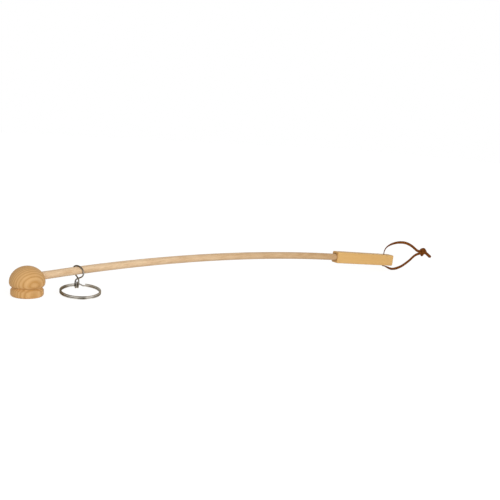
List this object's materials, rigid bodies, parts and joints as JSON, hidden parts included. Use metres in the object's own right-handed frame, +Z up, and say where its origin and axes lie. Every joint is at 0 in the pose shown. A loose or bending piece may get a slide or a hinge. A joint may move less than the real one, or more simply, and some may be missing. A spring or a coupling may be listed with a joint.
{
  "type": "long wooden stick with split ring",
  "caption": "Long bent wooden rod with a turned mushroom head at one end and a square handle at the other, a leather lace loop, and a split ring that slides along the rod on a wire link.",
  "frame": {"origin": "middle of the head's flat base, on the table", "axes": "+Z up along the head's axis, +X along the rod from the head to the handle, +Y away from the pictured side"},
  "size_m": [0.7114, 0.0608, 0.047],
  "materials": {
    "head_wood": "turned and sanded wood, satin",
    "rod_wood": "pale round rod, sanded",
    "handle_wood": "honey-coloured planed wood, eased edges",
    "steel_wire": "bright nickel-plated steel wire",
    "lace_leather": "brown suede lace"
  },
  "bodies": {
    "stick": {"mushroom_head": "head_wood", "curved_rod": "rod_wood", "square_handle": "handle_wood", "lace_upper_run": "lace_leather", "lace_lower_run": "lace_leather", "lace_knot": "lace_leather", "lace_tail": "lace_leather"},
    "link": {"wire_link": "steel_wire"},
    "ring": {"split_ring": "steel_wire"}
  },
  "joints": [
    {"name": "link_slide", "type": "hinge", "parent": "stick", "child": "link", "pos_m": [0.2649, 0, -2.4643], "axis": [0, 1, 0], "range_deg": [-0.3, 9.3]},
    {"name": "ring_swing", "type": "hinge", "parent": "link", "child": "ring", "pos_m": [0.0649, 0.0086, 0.0074], "axis": [0.9848, -0.1736, 0], "range_deg": [-20, 95]}
  ]
}
